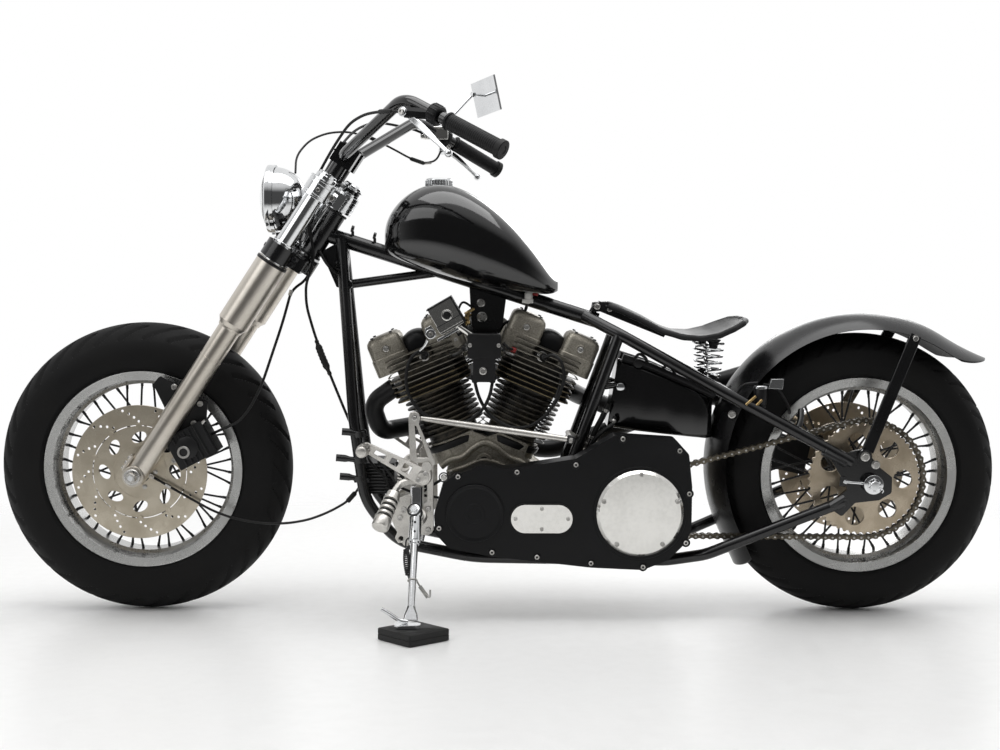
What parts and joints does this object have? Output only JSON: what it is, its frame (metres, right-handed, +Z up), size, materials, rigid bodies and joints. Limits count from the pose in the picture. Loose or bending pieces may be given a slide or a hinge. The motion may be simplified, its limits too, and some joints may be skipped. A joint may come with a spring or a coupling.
{
  "type": "chopper motorcycle",
  "caption": "Long-forked V-twin motorcycle with a rigid frame, teardrop tank, sprung solo seat and wire wheels, leaning on its side stand.",
  "frame": {"origin": "on the floor, under the middle of the parked machine's overall box", "axes": "-X to the front wheel, +X to the rear wheel, -Y the rider's left, where it leans, +Z up"},
  "size_m": [2.212, 0.8114, 1.2387],
  "materials": {
    "gloss_black": "deep glossy black",
    "satin_black": "satin black",
    "cast_grey": "aged cast metal, dull",
    "raw_aluminium": "fine brushed, bare",
    "chrome": "polished",
    "fork_metal": "brushed, satin",
    "tyre": "matt",
    "rubber": "matt",
    "bronze_disc": "turned, warm",
    "chain_steel": "oiled",
    "glass": "clear",
    "seat_black": "glossy",
    "cable_black": "satin"
  },
  "bodies": {
    "frame": {"main_frame": "satin_black", "cradle": "satin_black", "crankcase": "cast_grey", "gearbox": "cast_grey", "cylinders": "satin_black", "cylinder_heads": "cast_grey", "rocker_boxes": "cast_grey", "primary_cover": "satin_black", "derby_cover": "chrome", "inspection_cover": "chrome", "air_cleaner": "chrome", "coil": "satin_black", "key_box": "chrome", "regulator": "satin_black", "exhaust_pipes": "satin_black", "fuel_tank": "gloss_black", "filler_cap": "chrome", "seat": "seat_black", "seat_bracket": "gloss_black", "seat_springs": "chrome", "oil_box": "gloss_black", "rear_fender": "gloss_black", "fender_struts": "satin_black", "rear_axle": "chrome", "rear_caliper": "satin_black", "drive_chain": "chain_steel", "forward_controls": "raw_aluminium", "shift_linkage": "raw_aluminium", "stand_bracket": "raw_aluminium", "plug_leads": "cable_black", "stand_pad": "rubber"},
    "steering": {"fork_legs": "fork_metal", "fork_sleeves": "fork_metal", "fork_tubes": "chrome", "lower_yoke": "satin_black", "upper_yoke": "chrome", "bar_risers": "satin_black", "handlebar": "gloss_black", "grips": "rubber", "levers": "chrome", "mirror": "chrome", "headlight": "chrome", "headlight_glass": "glass", "front_axle": "chrome", "front_caliper": "satin_black", "brake_hose": "cable_black", "clutch_cable": "cable_black", "throttle_cable": "cable_black", "speed_cable": "cable_black"},
    "front_wheel": {"front_wheel": "chrome", "front_tyre": "tyre", "front_disc": "bronze_disc"},
    "rear_wheel": {"rear_wheel": "chrome", "rear_tyre": "tyre", "rear_disc": "bronze_disc", "rear_sprocket": "bronze_disc"},
    "side_stand": {"side_stand": "chrome"}
  },
  "joints": [
    {"name": "steering", "type": "hinge", "parent": "frame", "child": "steering", "pos_m": [-0.39318, 0.01123, 0.83803], "axis": [0.5461, -0.0584, 0.8357], "range_deg": [-28, 28], "deforming": ["clutch_cable", "speed_cable"]},
    {"name": "front_wheel_spin", "type": "hinge", "parent": "steering", "child": "front_wheel", "pos_m": [-0.7853, 0.04744, 0.32019], "axis": [0, 0.9976, 0.0698], "continuous": true},
    {"name": "rear_wheel_spin", "type": "hinge", "parent": "frame", "child": "rear_wheel", "pos_m": [0.7933, 0.048, 0.31221], "axis": [0, 0.9976, 0.0698], "continuous": true},
    {"name": "side_stand_fold", "type": "hinge", "parent": "frame", "child": "side_stand", "pos_m": [-0.181, -0.12519, 0.23714], "axis": [-0.2212, -0.7784, 0.5875], "range_deg": [0, 84]}
  ]
}
